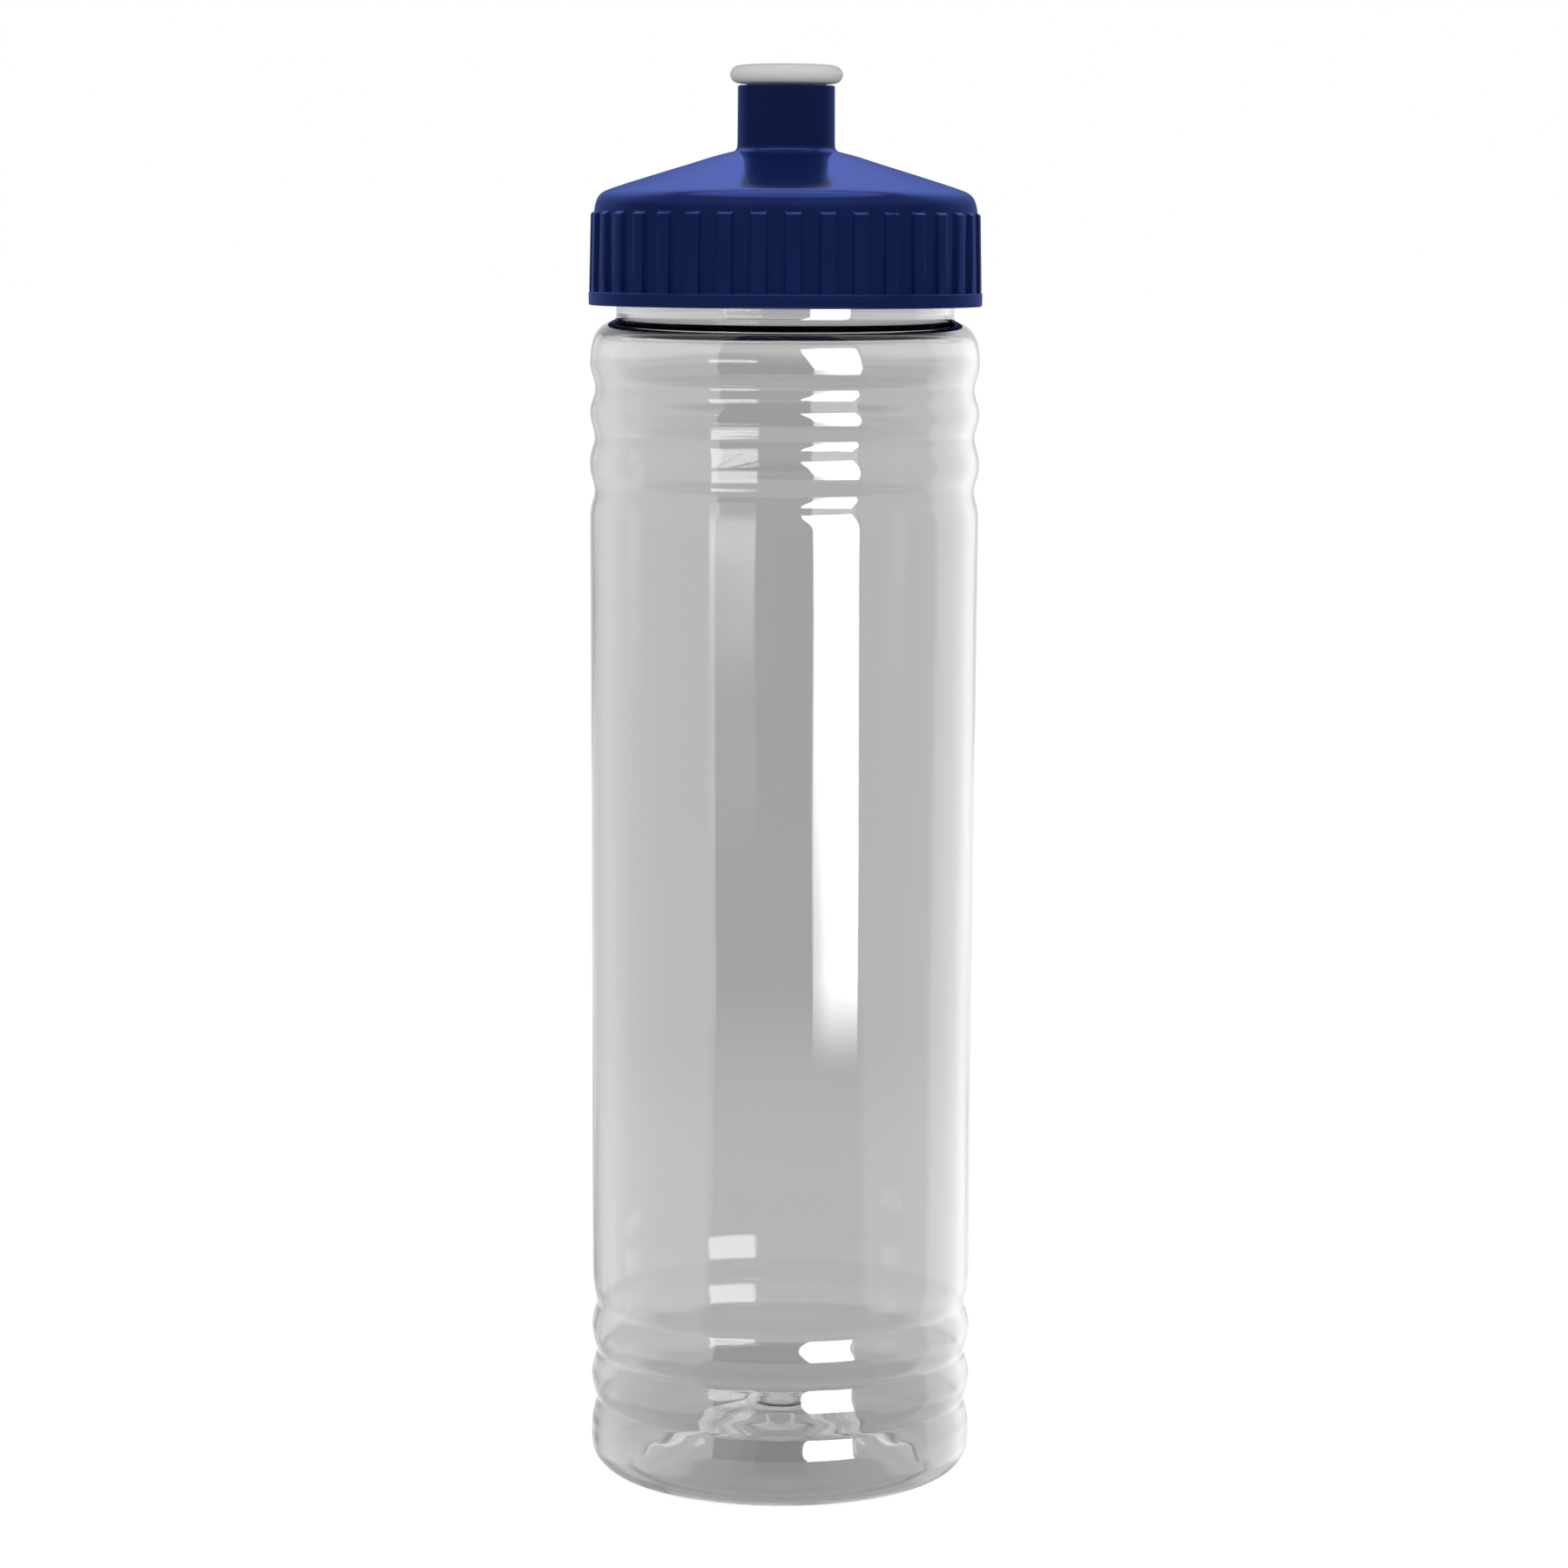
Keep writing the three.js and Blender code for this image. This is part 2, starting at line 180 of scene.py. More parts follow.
# ------------------------------------------------------------------ bottle
SIDE = [
    (34.38, 5.62), (34.37, 9.37), (34.03, 10.99), (33.77, 12.21), (33.51, 13.57), (33.85, 14.64),
    (34.24, 15.85), (34.49, 17.27), (34.43, 18.18), (34.18, 19.29), (33.78, 20.91), (33.46, 22.33),
    (33.82, 23.44), (34.21, 24.86), (34.45, 26.38), (34.4, 27.29), (34.15, 28.5), (33.75, 29.81),
    (33.49, 31.03), (33.73, 32.24), (34.01, 33.65), (34.3, 35.97), (34.38, 48.58), (34.38, 68.76),
    (34.42, 87.93), (34.5, 106.06), (34.56, 125.11), (34.65, 144.17), (34.72, 153.2),
    (34.76, 163.23), (34.81, 170.25), (34.81, 173.66), (34.74, 174.76), (34.48, 175.97),
    (34.16, 176.97), (33.96, 178.02), (34.09, 179.17), (34.55, 180.57), (34.88, 181.97),
    (34.91, 182.77), (34.8, 184.37), (34.5, 185.57), (34.17, 186.57), (33.96, 187.47),
    (34.1, 188.47), (34.5, 189.87), (34.81, 191.06), (34.89, 191.96), (34.78, 193.26),
    (34.43, 194.16), (34.08, 195.16), (33.9, 196.11), (33.99, 197.06), (34.33, 198.26),
    (34.68, 199.35), (34.87, 200.35), (34.88, 201.25), (34.8, 202.45), (34.68, 203.45),
    (34.44, 204.64), (34.07, 205.64), (33.62, 206.43), (33.02, 207.18), (32.22, 207.83),
    (31.42, 208.24), (30.9, 208.47), (30.35, 208.62), (30.2, 208.82), (30.2, 209.1), (30.2, 210.3),
]


def base_height(r):
    """Underside of the pushed-up base, before its ribs."""
    pts = [(0, 11.2), (2, 11.2), (4, 11.05), (6.5, 10.55), (9, 9.8), (12, 8.55), (15, 6.95), (18, 4.95), (21, 3.0), (23.4, 1.62), (24.7, 0.86), (25.3, 0.36), (25.8, 0.05), (26.6, 0), (27.5, 0)]
    x, y = zip(*pts)
    return float(np.interp(r, x, y))


def heel(inset, n):
    """The rounded heel, a quarter of an ellipse, moved in by inset."""
    return [
        (STAND_R + (HEEL_R - inset) * c, HEEL_H - (HEEL_H - inset) * s)
        for c, s in (
            (math.sin(math.pi / 2 * i / n), math.cos(math.pi / 2 * i / n)) for i in range(n + 1)
        )
    ]


base_line = polyline([(r, base_height(r)) for r in np.linspace(0, 27.5, 80)], 0.2, 0.7)
base_line[0] = (0.0, base_line[0][1])
base_rows = pick(base_line, lambda z: 0.62)
heel_rows = heel(0.0, 18)
side_line = polyline(SIDE[:-9], 0.12, 0.42)[:-1] + polyline(SIDE[-10:], 0.12, 0.16)


def side_spacing(z):
    if z < 37 or 173 < z < 211:
        return 0.42
    return 4.5


side_rows = pick(side_line, side_spacing)
neck_rows = [(NECK_R, z) for z in np.arange(210.6, 226.2, 0.31)]
rim_rows = arc(NECK_R - 0.55, RIM_Z - 0.55, 0.55, 0, 90, 5)
outer = base_rows[:-1] + heel_rows[:-1] + side_rows + neck_rows + rim_rows

WALL = [(5.6, 0.8), (12, 0.75), (40, 0.7), (170, 0.7), (200, 0.75), (206, 0.9), (207.6, 1.15), (208.6, 1.9), (211, 1.9)]


def offset_line(points):
    """The inside of the wall: each point moved in by the wall's thickness at its height."""
    p = np.array(points)
    t = np.gradient(p, axis=0)
    t /= np.linalg.norm(t, axis=1)[:, None]
    z, w = zip(*WALL)
    th = np.interp(p[:, 1], z, w)
    return [(a - n[1] * k, b + n[0] * k) for (a, b), n, k in zip(points, t, th)]


inner_side = polyline(offset_line(side_line[::3]), 0.25, 0.5)
inner_side = [p for p in inner_side if p[0] > NECK_BORE_R]
inner_side = pick(inner_side, lambda z: 0.6 if z < 37 or 173 < z else 6.0)
inner_neck = [(NECK_BORE_R, z) for z in (212.5, 216, 220, 224, 226.3)]
inner_rim = arc(NECK_BORE_R + 0.4, RIM_Z - 0.4, 0.4, 180, 90, 4)
inner_heel = heel(0.75, 14)
inner_base = [(r, z + 1.15) for r, z in pick(base_line, lambda z: 0.8) if r < 26.2]
inner = (
    inner_rim[::-1][0:0]
    + inner_rim[::-1]
    + inner_neck[::-1]
    + inner_side[::-1]
    + inner_heel[:-1][::-1]
    + inner_base[::-1]
)
bottle_profile = outer + inner
N_OUTER = len(outer)


def star(r, a):
    """How far the base drops at radius r and angle a: five ribs run out from the gate."""
    lobe = 360.0 / LOBES
    off = abs((a + 90 + lobe / 2) % lobe - lobe / 2)  # degrees from the nearest rib
    across = math.radians(off) * r
    rib = math.exp(-((across / 2.9) ** 2))
    reach = smoothstep(5.0, 9.0, r) * (1 - smoothstep(20.0, 25.6, r))
    swell = 0.5 + 0.5 * math.cos(math.radians(off) * LOBES)
    gate = 0.25 * (1 - smoothstep(3.1, 3.7, r)) - 0.1 * smoothstep(4.4, 5.2, r) * (
        1 - smoothstep(5.6, 7.4, r)
    )
    step = 0.3 * smoothstep(14.0, 15.0, r) * (1 - smoothstep(20.0, 25.6, r))
    return 0.34 * rib * reach + 0.25 * swell * reach + step + gate


def wander(a, z):
    """Slow unevenness of a blown wall, about 0.03 mm."""
    t = math.radians(a)
    return (
        0.012 * math.sin(3 * t + 0.021 * z + 0.7)
        + 0.010 * math.sin(5 * t - 0.034 * z + 2.1)
        + 0.007 * math.sin(8 * t + 0.055 * z + 4.0)
        + 0.006 * math.sin(2 * t + 0.11 * z)
    )


def bottle_shape(i, r, z, a):
    if r < 27.0 and z < 14.5:
        return r, z - star(r, a)
    if i < N_OUTER:
        if 5.6 <= z < 209:
            fade = smoothstep(5.6, 11, z) * (1 - smoothstep(203, 208.5, z))
            t = (a - 90.0) % 180.0
            seam = min(t, 180.0 - t)
            ridge = 0.05 * math.exp(-((math.radians(seam) * r / 0.45) ** 2))
            return r + fade * (wander(a, z) - 0.035 + ridge), z
        if z >= 210.6 and abs(r - NECK_R) < 1e-6:
            h = thread_height(a, z, THREAD_Z0)
            return r + (THREAD_CREST_R - NECK_R) * h, z
        return r, z
    if 8 < z < 205:
        fade = smoothstep(8, 14, z) * (1 - smoothstep(198, 205, z))
        return r + fade * 2.6 * wander(a + 40, 1.3 * z + 60), z
    return r, z


bottle_angles = even(168)
bottle = revolve("bottle", bottle_profile, bottle_angles, bottle_shape, sharp=50)

# ------------------------------------------------------------------ gasket
ring = (
    arc(31.2, 228.3, 0.3, 0, 90, 3)
    + arc(28.3, 228.3, 0.3, 90, 180, 3)
    + arc(28.3, 227.4, 0.3, 180, 270, 3)
    + arc(31.2, 227.4, 0.3, 270, 360, 3)
)
gasket = revolve("gasket_ring", ring, even(144), loop=True)

# ------------------------------------------------------------------ lid
rib_columns = []
for i in range(RIBS):
    middle = -90 + RIB_PHASE + 360.0 / RIBS * i
    for off, w in (
        (-2.62, 0.0), (-2.46, 0.12), (-2.34, 0.55), (-2.2, 0.9), (-2.0, 1.0), (-0.7, 1.0), (0.7, 1.0),
        (2.0, 1.0), (2.2, 0.9), (2.34, 0.55), (2.46, 0.12), (2.62, 0.0), (5.0, 0.0),
    ):
        rib_columns.append((middle + off, w))
RIB_W = {round(a, 4): w for a, w in rib_columns}
lid_angles = [a for a, _ in rib_columns]

skirt = [
    (32.7, 211.0), (34.7, 211.0), (34.86, 211.04), (34.96, 211.14), (35.0, 211.3), (35.0, 212.3),
    (35.0, 213.1), (34.97, 213.28), (34.9, 213.39), (34.8, 213.45),
]
grip = [
    (34.5, 213.48), (34.22, 213.52), (34.1, 213.6), (34.05, 213.75), (34.05, 214.4), (34.05, 217.5),
    (34.05, 221.0), (34.05, 226.2), (34.05, 226.9), (34.05, 227.12), (34.04, 227.26), (34.04, 227.36),
    (34.03, 227.43), (34.02, 227.54),
]
GRIP0, GRIP1 = len(skirt), len(skirt) + len(grip)
shoulder = polyline(
    [
        (34.02, 227.54), (33.97, 228.0), (33.88, 228.6), (33.74, 229.15), (33.56, 229.65),
        (33.34, 230.1), (33.0, 230.55), (32.5, 230.95), (31.9, 231.25), (31.1, 231.55), (29.75, 232.02), (28.0, 232.6),
        (26.0, 233.22), (24.1, 233.82), (22.0, 234.46), (20.0, 235.08), (17.8, 235.75), (15.5, 236.45),
        (13.5, 237.14), (12.2, 237.48), (10.9, 237.83), (10.0, 238.06),
    ],
    0.25,
    0.35,
)
shoulder = pick(shoulder, lambda z: 0.33 if z < 232.2 else 1.5)[1:]
foot = arc(9.75, 239.2, 1.07, 268, 180, 9)
tube_out = [
    (8.64, 240.2), (8.63, 242.5), (8.62, 245), (8.61, 247.5), (8.6, 249.1),
] + arc(8.3, 249.5, 0.3, 0, 90, 5)
tube_in = (
    arc(7.4, 249.55, 0.25, 90, 180, 4)
    + [
        (7.15, 248.9), (7.15, 247.5), (7.2, 247.25), (7.36, 247.05), (7.45, 246.9), (7.45, 243), (7.45, 239.5),
        (7.45, 236.1), (7.55, 235.92), (7.75, 235.9), (8.2, 235.9), (8.2, 235.0), (8.2, 234.1),
        (8.1, 233.98), (7.8, 233.85), (7.8, 233.62), (7.92, 233.5),
    ]
)
under = [
    (8.6, 233.5), (9.7, 233.5), (9.98, 233.6), (10.12, 233.9), (10.3, 234.8), (10.45, 235.35), (10.75, 235.6), (11.3, 235.62), (12.3, 235.3),
    (16, 233.93), (20, 232.43), (24, 230.93), (26.3, 230.07), (26.75, 229.7), (27.0, 229.2), (27.15, 228.85), (27.35, 228.7),
    (29, 228.7), (31.4, 228.7), (31.85, 228.62), (32.0, 228.3), (32.0, 226.5), (32.0, 223.5),
]
bore = [(LID_BORE_R, float(z)) for z in np.arange(222.6, 211.9, -0.36)] + [(32.1, 211.7), (32.45, 211.15)]
lid_profile = skirt + grip + shoulder + foot + tube_out + tube_in + under + bore


def lid_shape(i, r, z, a):
    if GRIP0 <= i < GRIP1:
        w = RIB_W[round(a, 4)]
        top = 34.86 - 0.02 * (z - 214.4) * (z > 214.4)
        if z > 227.0:
            top = 34.02 + (top - 34.02) * (1 - smoothstep(227.0, 227.54, z)) ** 0.6
        if i == GRIP1 - 1:
            top = r
        return r + (max(top, r) - r) * w, z
    if i >= len(lid_profile) - len(bore) - 2 and z > 211.8 and abs(r - LID_BORE_R) < 1e-6:
        h = thread_height(a, z, THREAD_Z0 - LID_THREAD_DROP)
        return r - (LID_BORE_R - LID_THREAD_CREST_R) * h, z
    return r, z


lid = revolve("lid", lid_profile, lid_angles, lid_shape, loop=True, sharp=32)

# ------------------------------------------------------------------ valve post
post_ring = revolve(
    "post_ring",
    arc(7.8, 235.5, 0.2, 0, 90, 3)
    + arc(6.6, 235.5, 0.2, 90, 180, 3)
    + arc(6.6, 234.45, 0.2, 180, 270, 3)
    + arc(7.75, 234.5, 0.25, 270, 360, 3),
    even(96),
    loop=True,
)
post_pin = revolve(
    "post_pin",
    [(0, 234.25), (1.6, 234.25), (2.2, 234.35), (PIN_R, 234.7), (PIN_R, 238.0), (PIN_R, 245.0), (PIN_R, 252.4)]
    + arc(PIN_R - 0.7, 252.6, 0.7, 5, 80, 6)
    + [(1.2, 253.29), (0.5, 253.24), (0, 253.22)],
    even(64),
)


def spoke(k):
    """One flat bar from the pin to the ring, a little waisted, with rounded edges."""
    bm = bmesh.new()
    stations = [(1.2, 1.1), (2.6, 1.0), (3.4, 0.8), (4.6, 0.75), (5.6, 0.85), (6.4, 1.05), (6.9, 1.1)]
    rings = []
    for x, half in stations:
        loop = []
        for y, z in (
            (-half, 234.45), (-half + 0.18, 234.27), (half - 0.18, 234.27), (half, 234.45),
            (half, 235.48), (half - 0.18, 235.66), (-half + 0.18, 235.66), (-half, 235.48),
        ):
            loop.append(bm.verts.new((x * MM, y * MM, z * MM)))
        rings.append(loop)
    for a, b in zip(rings, rings[1:]):
        for j in range(8):
            bm.faces.new((a[j], a[(j + 1) % 8], b[(j + 1) % 8], b[j]))
    bm.faces.new(rings[0][::-1])
    bm.faces.new(rings[-1])
    bmesh.ops.recalc_face_normals(bm, faces=bm.faces)
    bmesh.ops.rotate(
        bm,
        verts=bm.verts,
        cent=(0, 0, 0),
        matrix=Matrix.Rotation(math.radians(90 + 120 * k), 3, "Z"),
    )
    me = bpy.data.meshes.new(f"spoke_{k}")
    bm.to_mesh(me)
    bm.free()
    ob = bpy.data.objects.new(f"spoke_{k}", me)
    bpy.context.scene.collection.objects.link(ob)
    return ob


def join_solids(target, others):
    for o in others:
        m = target.modifiers.new("join", "BOOLEAN")
        m.operation = "UNION"
        m.solver = "EXACT"
        m.object = o
    dg = bpy.context.evaluated_depsgraph_get()
    me = bpy.data.meshes.new_from_object(target.evaluated_get(dg))
    target.modifiers.clear()
    target.data = me
    for o in others:
        bpy.data.objects.remove(o)
    me.shade_smooth()
    me.set_sharp_from_angle(angle=math.radians(32))
    return target


post = join_solids(post_ring, [post_pin] + [spoke(k) for k in range(3)])
post.name = "valve_insert"

# ------------------------------------------------------------------ pull spout
spout_profile = (
    [(2.6, 251.8), (2.6, 253.1)]
    + arc(2.95, 253.08, 0.35, 170, 95, 3)
    + polyline(
        [
            (3.1, 253.43), (5.0, 253.48), (6.8, 253.46), (8.1, 253.36), (8.97, 253.18), (9.4, 252.92), (9.7, 252.6), (9.93, 252.25),
            (10.04, 251.95), (10.04, 251.6), (9.93, 251.25), (9.7, 250.75), (9.35, 250.4), (8.9, 250.2), (8.3, 250.12),
        ],
        0.15,
        0.28,
    )[::2]
    + [(7.6, 250.11), (7.15, 250.06), (6.95, 249.85), (6.9, 249.5), (6.9, 245), (6.9, 240), (6.9, 238.75)]
    + [(6.98, 238.55), (7.18, 238.42), (7.25, 238.2), (7.25, 237.7), (7.15, 237.45), (6.98, 237.25), (6.8, 237.05), (6.6, 237.0)]
    + [(5.8, 237.0), (5.6, 237.06), (5.5, 237.25), (5.5, 240), (5.5, 245), (5.5, 250.2), (5.35, 250.8), (4.8, 251.35), (3.9, 251.6), (3.0, 251.64), (2.7, 251.68)]
)
spout = revolve("mouthpiece", spout_profile, even(112), loop=True, sharp=40)

# ------------------------------------------------------------------ node helpers


class Tree:
    """A little sugar over a node tree."""

    def __init__(self, tree):
        self.t = tree

    def add(self, kind, **values):
        node = self.t.nodes.new(kind)
        for k, v in values.items():
            setattr(node, k, v)
        return node

    def link(self, a, b):
        self.t.links.new(a, b)

    def math(self, op, a, b=None, c=None, clamp=False):
        n = self.add("ShaderNodeMath", operation=op, use_clamp=clamp)
        for i, v in enumerate((a, b, c)):
            if v is None:
                continue
            if isinstance(v, (int, float)):
                n.inputs[i].default_value = v
            else:
                self.link(v, n.inputs[i])
        return n.outputs[0]

    def ramp(self, x, lo, hi, a=0.0, b=1.0):
        """a below lo, b above hi, smooth between them."""
        n = self.add("ShaderNodeMapRange", interpolation_type="SMOOTHSTEP")
        self.link(x, n.inputs["Value"])
        n.inputs["From Min"].default_value = lo
        n.inputs["From Max"].default_value = hi
        n.inputs["To Min"].default_value = a
        n.inputs["To Max"].default_value = b
        return n.outputs["Result"]

    def noise(self, vector, scale, detail=3.0, roughness=0.5):
        n = self.add("ShaderNodeTexNoise")
        n.inputs["Scale"].default_value = scale
        n.inputs["Detail"].default_value = detail
        n.inputs["Roughness"].default_value = roughness
        if vector is not None:
            self.link(vector, n.inputs["Vector"])
        return n.outputs["Fac"]

    def mapped(self, scale):
        tc = self.add("ShaderNodeTexCoord")
        mp = self.add("ShaderNodeMapping")
        mp.inputs["Scale"].default_value = scale
        self.link(tc.outputs["Object"], mp.inputs["Vector"])
        return mp.outputs["Vector"]

    def bump(self, height, strength, distance):
        n = self.add("ShaderNodeBump")
        n.inputs["Strength"].default_value = strength
        n.inputs["Distance"].default_value = distance
        self.link(height, n.inputs["Height"])
        return n.outputs["Normal"]

    def two_colours(self, fac, a, b):
        n = self.add("ShaderNodeValToRGB")
        n.color_ramp.elements[0].color = (*a, 1)
        n.color_ramp.elements[1].color = (*b, 1)
        n.color_ramp.elements[0].position = 0.3
        n.color_ramp.elements[1].position = 0.7
        self.link(fac, n.inputs["Fac"])
        return n.outputs["Color"]


def material(name):
    m = bpy.data.materials.new(name)
    m.use_nodes = True
    t = Tree(m.node_tree)
    return m, t, m.node_tree.nodes["Principled BSDF"]


# clear blown polyester
m_clear, t, p = material("clear_plastic")
p.inputs["Base Color"].default_value = (0.965, 0.97, 0.97, 1)
p.inputs["Transmission Weight"].default_value = 1.0
p.inputs["IOR"].default_value = 1.57
p.inputs["Roughness"].default_value = 0.0
slow = t.noise(t.mapped((60, 60, 9)), 1.0, 2.0, 0.4)
t.link(t.bump(slow, 0.35, 0.0006), p.inputs["Normal"])

# navy moulded lid
m_lid, t, p = material("lid_plastic")
grain = t.noise(t.mapped((1, 1, 1)), 2600, 2.0, 0.6)
cloud = t.noise(t.mapped((1, 1, 1)), 45, 3.0, 0.5)
t.link(
    t.two_colours(cloud, (0.0044, 0.0135, 0.078), (0.0052, 0.0155, 0.088)),
    p.inputs["Base Color"],
)
t.link(t.ramp(cloud, 0.3, 0.7, 0.1, 0.15), p.inputs["Roughness"])
t.link(t.bump(grain, 0.12, 0.00004), p.inputs["Normal"])
p.inputs["IOR"].default_value = 1.49

# milky spout
m_spout, t, p = material("spout_plastic")
cloud = t.noise(t.mapped((1, 1, 1)), 120, 3.0, 0.5)
grain = t.noise(t.mapped((1, 1, 1)), 3000, 2.0, 0.6)
t.link(
    t.two_colours(cloud, (0.90, 0.90, 0.895), (0.95, 0.95, 0.945)),
    p.inputs["Base Color"],
)
t.link(t.ramp(cloud, 0.3, 0.7, 0.36, 0.46), p.inputs["Roughness"])
t.link(t.bump(grain, 0.1, 0.00004), p.inputs["Normal"])
p.inputs["IOR"].default_value = 1.51
p.inputs["Subsurface Weight"].default_value = 0.5
p.inputs["Subsurface Radius"].default_value = (1.0, 1.0, 1.0)
p.inputs["Subsurface Scale"].default_value = 0.0015

# gasket
m_gasket, t, p = material("gasket_rubber")
grain = t.noise(t.mapped((1, 1, 1)), 1800, 3.0, 0.6)
t.link(
    t.two_colours(grain, (0.70, 0.70, 0.68), (0.78, 0.78, 0.76)),
    p.inputs["Base Color"],
)
t.link(t.bump(grain, 0.25, 0.00008), p.inputs["Normal"])
p.inputs["Roughness"].default_value = 0.6

# valve insert
m_post, t, p = material("post_plastic")
grain = t.noise(t.mapped((1, 1, 1)), 2200, 2.0, 0.6)
cloud = t.noise(t.mapped((1, 1, 1)), 150, 3.0, 0.5)
t.link(
    t.two_colours(cloud, (0.0044, 0.0135, 0.078), (0.0052, 0.0155, 0.088)),
    p.inputs["Base Color"],
)
t.link(t.ramp(cloud, 0.3, 0.7, 0.26, 0.36), p.inputs["Roughness"])
t.link(t.bump(grain, 0.15, 0.00004), p.inputs["Normal"])

for ob, m, body, node, slot in (
    (bottle, m_clear, "bottle", "bottle_body", "clear_plastic"),
    (gasket, m_gasket, "gasket", "lid_gasket", "gasket_rubber"),
    (lid, m_lid, "lid", "screw_lid", "lid_plastic"),
    (post, m_post, "lid", "valve_post", "post_plastic"),
    (spout, m_spout, "spout", "pull_spout", "spout_plastic"),
):
    ob.data.materials.clear()
    ob.data.materials.append(m)
    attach(ob, body)
    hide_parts(node)

# ------------------------------------------------------------------ floor
bm = bmesh.new()
bmesh.ops.create_circle(bm, cap_ends=True, radius=14.0, segments=96)
me = bpy.data.meshes.new("floor")
bm.to_mesh(me)
bm.free()
floor = bpy.data.objects.new("floor", me)
bpy.context.scene.collection.objects.link(floor)


def direction(t, vector):
    """Azimuth (0 towards the photo's camera, + to its right) and height of a direction, in degrees."""
    unit = t.add("ShaderNodeVectorMath", operation="NORMALIZE")
    t.link(vector, unit.inputs[0])
    sep = t.add("ShaderNodeSeparateXYZ")
    t.link(unit.outputs["Vector"], sep.inputs[0])
    dx, dy, dz = sep.outputs
    az = t.math("ARCTAN2", dx, t.math("MULTIPLY", dy, -1.0))
    return t.math("MULTIPLY", az, 180 / math.pi), t.math(
        "MULTIPLY", t.math("ARCSINE", dz), 180 / math.pi
    )


def patch(t, az, el, a0, a1, e0, e1, value, sa=2.0, se=3.0):
    """A soft-edged bright rectangle on the studio's walls."""
    v = t.math("MULTIPLY", t.ramp(az, a0 - sa, a0 + sa), t.ramp(az, a1 - sa, a1 + sa, 1.0, 0.0))
    w = t.math("MULTIPLY", t.ramp(el, e0 - se, e0 + se), t.ramp(el, e1 - se, e1 + se, 1.0, 0.0))
    return t.math("MULTIPLY", t.math("MULTIPLY", v, w), value)


def total(t, parts):
    s = parts[0]
    for q in parts[1:]:
        s = t.math("ADD", s, q)
    return s


m_floor = bpy.data.materials.new("floor")
m_floor.use_nodes = True
m_floor.node_tree.nodes.clear()
t = Tree(m_floor.node_tree)
out = t.add("ShaderNodeOutputMaterial")
path = t.add("ShaderNodeLightPath")
geo = t.add("ShaderNodeNewGeometry")
length = t.add("ShaderNodeVectorMath", operation="LENGTH")
t.link(geo.outputs["Position"], length.inputs[0])
radius = length.outputs["Value"]
az, el = direction(t, geo.outputs["Position"])
# plain white, a little shaded where the bottle stands
seen = t.add("ShaderNodeBsdfDiffuse")
seen.inputs["Color"].default_value = (0.8, 0.8, 0.8, 1)
glow = t.add("ShaderNodeEmission")
glow.inputs["Strength"].default_value = 0.8
white = t.add("ShaderNodeAddShader")
t.link(seen.outputs[0], white.inputs[0])
t.link(glow.outputs[0], white.inputs[1])
# a pale table top in front of the bottle, mirrored in it; past its edge the floor lets light through
table = t.add("ShaderNodeEmission")
table.inputs["Strength"].default_value = 1.1
clear = t.add("ShaderNodeBsdfTransparent")
edge = t.math(
    "MULTIPLY",
    t.ramp(radius, 0.46, 0.62, 1.0, 0.0),
    t.math("MULTIPLY", t.ramp(az, -44, -36), t.ramp(az, 44, 52, 1.0, 0.0)),
)
mirrored = t.add("ShaderNodeMixShader")
t.link(edge, mirrored.inputs[0])
t.link(clear.outputs[0], mirrored.inputs[1])
t.link(table.outputs[0], mirrored.inputs[2])
# seen through the bottle, the floor glows an even grey with a painted contact shadow: darker right under the base and a
# little dimmer further out
through = t.add("ShaderNodeEmission")
under = t.math("ADD", t.ramp(radius, 0.02, 0.15, 0.27, 0.455), t.ramp(radius, 0.27, 0.48, 0.0, -0.045))
t.link(under, through.inputs["Strength"])
showing = t.add("ShaderNodeMixShader")
t.link(t.ramp(radius, 0.7, 1.1), showing.inputs[0])
t.link(through.outputs[0], showing.inputs[1])
t.link(clear.outputs[0], showing.inputs[2])
mix1 = t.add("ShaderNodeMixShader")
t.link(path.outputs["Is Transmission Ray"], mix1.inputs[0])
t.link(mirrored.outputs[0], mix1.inputs[1])
t.link(showing.outputs[0], mix1.inputs[2])
mix2 = t.add("ShaderNodeMixShader")
t.link(path.outputs["Is Camera Ray"], mix2.inputs[0])
t.link(mix1.outputs[0], mix2.inputs[1])
t.link(white.outputs[0], mix2.inputs[2])
t.link(mix2.outputs[0], out.inputs["Surface"])
floor.data.materials.append(m_floor)

# ------------------------------------------------------------------ studio light
world = bpy.data.worlds.new("studio")
bpy.context.scene.world = world
world.use_nodes = True
world.node_tree.nodes.clear()
t = Tree(world.node_tree)
out = t.add("ShaderNodeOutputWorld")
coord = t.add("ShaderNodeTexCoord")
az, el = direction(t, coord.outputs["Generated"])
el = t.math("ADD", el, 1.94)
path = t.add("ShaderNodeLightPath")


def background(strength):
    n = t.add("ShaderNodeBackground")
    n.inputs["Color"].default_value = (1, 1, 1, 1)
    if isinstance(strength, float):
        n.inputs["Strength"].default_value = strength
    else:
        t.link(strength, n.inputs["Strength"])
    return n.outputs[0]


def chosen(flag, no, yes):
    n = t.add("ShaderNodeMixShader")
    t.link(path.outputs[flag], n.inputs[0])
    t.link(no, n.inputs[1])
    t.link(yes, n.inputs[2])
    return n.outputs[0]


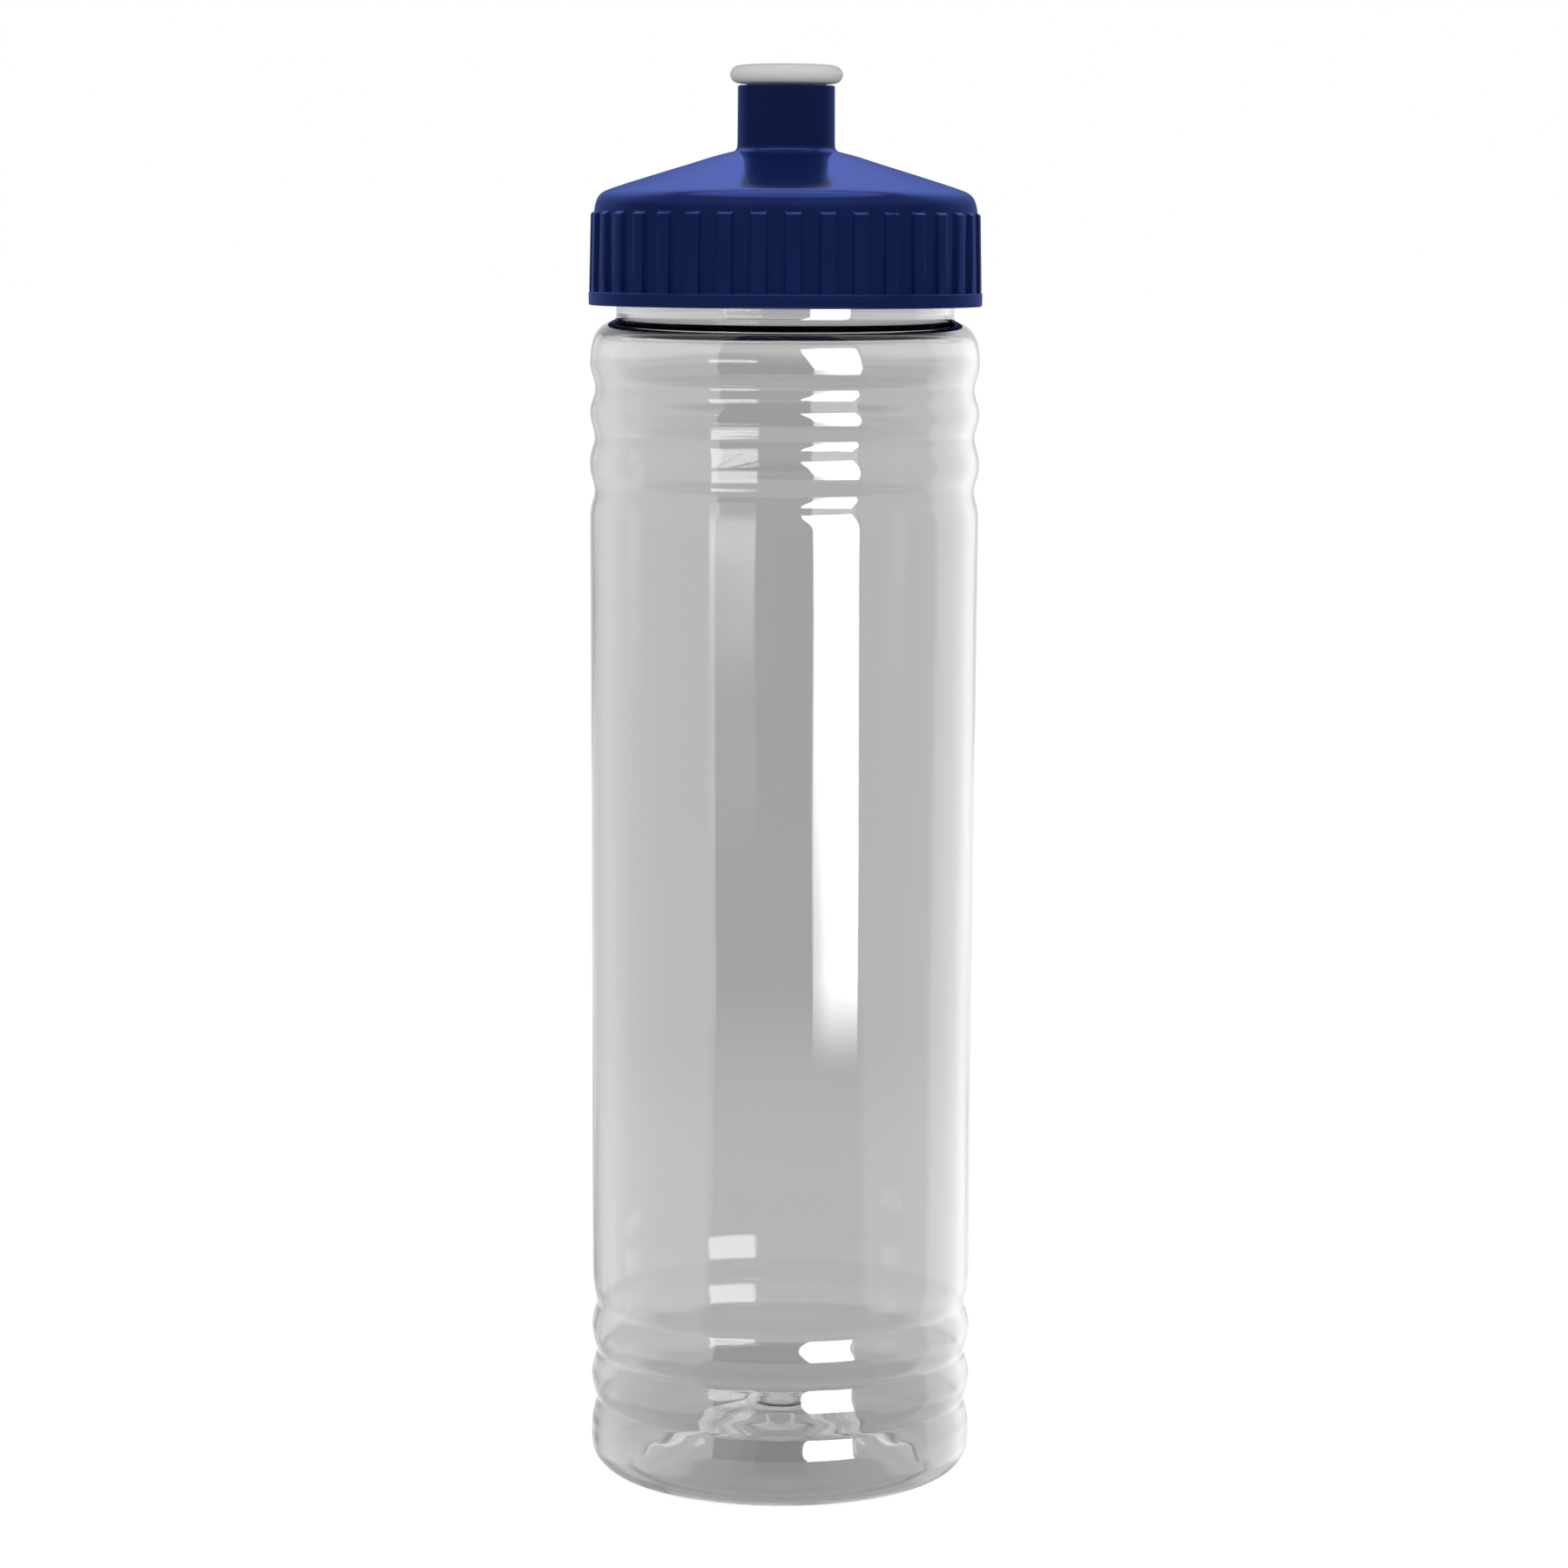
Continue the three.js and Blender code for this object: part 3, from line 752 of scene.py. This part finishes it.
# seen through the clear wall: an even grey, with the tall softbox faint in the far wall
grey = t.math("ADD", t.ramp(el, -8.0, -5.5, 0.41, 0.405), t.ramp(el, 2.0, 4.0, 0.0, 0.16))
far_strip = t.math(
    "MULTIPLY",
    patch(t, az, el, 17, 47, -6.5, 40, 1.0, sa=0.8, se=1.0),
    t.ramp(el, -3.2, 0.4, 0.4, 4.2),
)
through_wall = t.math("ADD", grey, far_strip)
ambient = t.ramp(el, -30, 60, 0.6, 0.7)
lit = chosen(
    "Is Camera Ray",
    chosen(
        "Is Transmission Ray",
        chosen("Is Glossy Ray", background(ambient), background(0.03)),
        background(through_wall),
    ),
    background(1.0),
)
t.link(lit, out.inputs["Surface"])


def dome(name, radius, receivers, colour, brightness):
    """A shell of soft light round the set that only the named pieces mirror.
    brightness(t, az, el) makes its value in a direction."""
    bm = bmesh.new()
    bmesh.ops.create_uvsphere(bm, u_segments=48, v_segments=24, radius=radius)
    me = bpy.data.meshes.new(name)
    bm.to_mesh(me)
    bm.free()
    ob = bpy.data.objects.new(name, me)
    bpy.context.scene.collection.objects.link(ob)
    ob.visible_camera = False
    ob.visible_diffuse = False
    ob.visible_transmission = False
    ob.visible_shadow = False
    ob.visible_volume_scatter = False
    m = bpy.data.materials.new(name)
    m.use_nodes = True
    m.node_tree.nodes.clear()
    m.cycles.emission_sampling = "NONE"
    t = Tree(m.node_tree)
    out = t.add("ShaderNodeOutputMaterial")
    geo = t.add("ShaderNodeNewGeometry")
    az, el = direction(t, geo.outputs["Position"])
    el = t.math("ADD", el, 1.94)
    light = t.add("ShaderNodeEmission")
    light.inputs["Color"].default_value = (*colour, 1)
    t.link(brightness(t, az, el), light.inputs["Strength"])
    clear = t.add("ShaderNodeBsdfTransparent")
    both = t.add("ShaderNodeAddShader")
    t.link(light.outputs[0], both.inputs[0])
    t.link(clear.outputs[0], both.inputs[1])
    t.link(both.outputs[0], out.inputs["Surface"])
    me.materials.append(m)
    lit = bpy.data.collections.new(name + "_lights")
    for r in receivers:
        lit.objects.link(r)
    ob.light_linking.receiver_collection = lit
    return ob


def softboxes(t, az, el):
    """A tall softbox front right, narrower and brighter to its right below the horizon, and wide
    ones left, right and behind."""
    left = t.ramp(el, -3, 26, 17.5, 10.0)
    right = t.ramp(el, -3, 26, 45.4, 43.2)
    tall = t.math(
        "MULTIPLY",
        t.math(
            "MULTIPLY",
            t.ramp(t.math("SUBTRACT", az, left), -0.8, 0.8),
            t.ramp(t.math("SUBTRACT", az, right), -0.8, 0.8, 1.0, 0.0),
        ),
        patch(t, az, el, 0, 60, -30, 27, 1.0, sa=0.8, se=1.2),
    )
    core = t.ramp(t.math("SUBTRACT", az, t.ramp(el, -6.5, -2.5, 24, 17)), -7, 7)
    core = t.math("MAXIMUM", core, t.ramp(el, -2.5, -1.0))
    left_wall = t.math("MULTIPLY", t.ramp(az, -40.8, -39.2, 1.0, 0.0), t.ramp(az, -150, -118, 1.1, 2.4))
    right_wall = t.math(
        "MULTIPLY",
        t.ramp(az, 45.2, 46.8),
        t.math("ADD", t.ramp(az, 96, 104, 1.9, 2.9), t.ramp(az, 138, 165, 0.0, -1.6)),
    )
    sides = t.math("MULTIPLY", total(t, [left_wall, right_wall]), t.ramp(el, 26, 42, 1.0, 0.3))
    low = t.ramp(el, -58, -34, 0.12, 0.62)
    return total(
        t,
        [
            t.math("MULTIPLY", tall, t.math("ADD", t.math("MULTIPLY", core, 9.0), 7.0)),
            t.math("MULTIPLY", sides, t.math("ADD", low, t.ramp(el, -26, -16, 0.0, 0.38))),
        ],
    )


def lid_light(t, az, el):
    """Blue-white light on the lid: a wall behind that grows brighter upwards, and a softbox above."""
    behind = t.math("MAXIMUM", t.ramp(az, 95, 135), t.ramp(az, -135, -95, 1.0, 0.0))
    wall = t.math("MULTIPLY", t.math("MULTIPLY", behind, t.ramp(el, 8, 56, 0.14, 0.95)), t.ramp(el, 50, 62, 1.0, 0.0))
    side = t.math("MULTIPLY", t.math("SUBTRACT", 1.0, behind), t.math("MULTIPLY", t.ramp(el, 18, 34, 0.06, 0.3), t.ramp(el, 56, 64, 1.0, 0.0)))
    return total(t, [wall, side, t.ramp(el, 56, 66, 0.0, 1.3)])


dome("softbox_shell", 6.0, [bottle], (1, 1, 1), softboxes)
dome("lid_light_shell", 6.5, [lid, post], (0.55, 0.83, 2.8), lid_light)

# ------------------------------------------------------------------ camera
cam_data = bpy.data.cameras.new("camera")
cam_data.sensor_fit = "HORIZONTAL"
cam_data.sensor_width = 36.0
cam_data.lens = 110.29
cam_data.clip_start = 0.05
cam_data.clip_end = 60.0
cam = bpy.data.objects.new("camera", cam_data)
bpy.context.scene.collection.objects.link(cam)
PITCH_DOWN = math.radians(6.619)
ROLL = math.atan(0.005)
fwd = Vector((0, math.cos(PITCH_DOWN), -math.sin(PITCH_DOWN)))
right0 = Vector((1, 0, 0))
up0 = right0.cross(fwd)
right = right0 * math.cos(ROLL) + up0 * math.sin(ROLL)
up = up0 * math.cos(ROLL) - right0 * math.sin(ROLL)
rot = Matrix((right, up, -fwd)).transposed()
cam.matrix_world = Matrix.Translation((0.00018, -0.8586, 0.225)) @ rot.to_4x4()
bpy.context.scene.camera = cam

view = bpy.context.scene.view_settings
view.view_transform = "Standard"
view.look = "None"
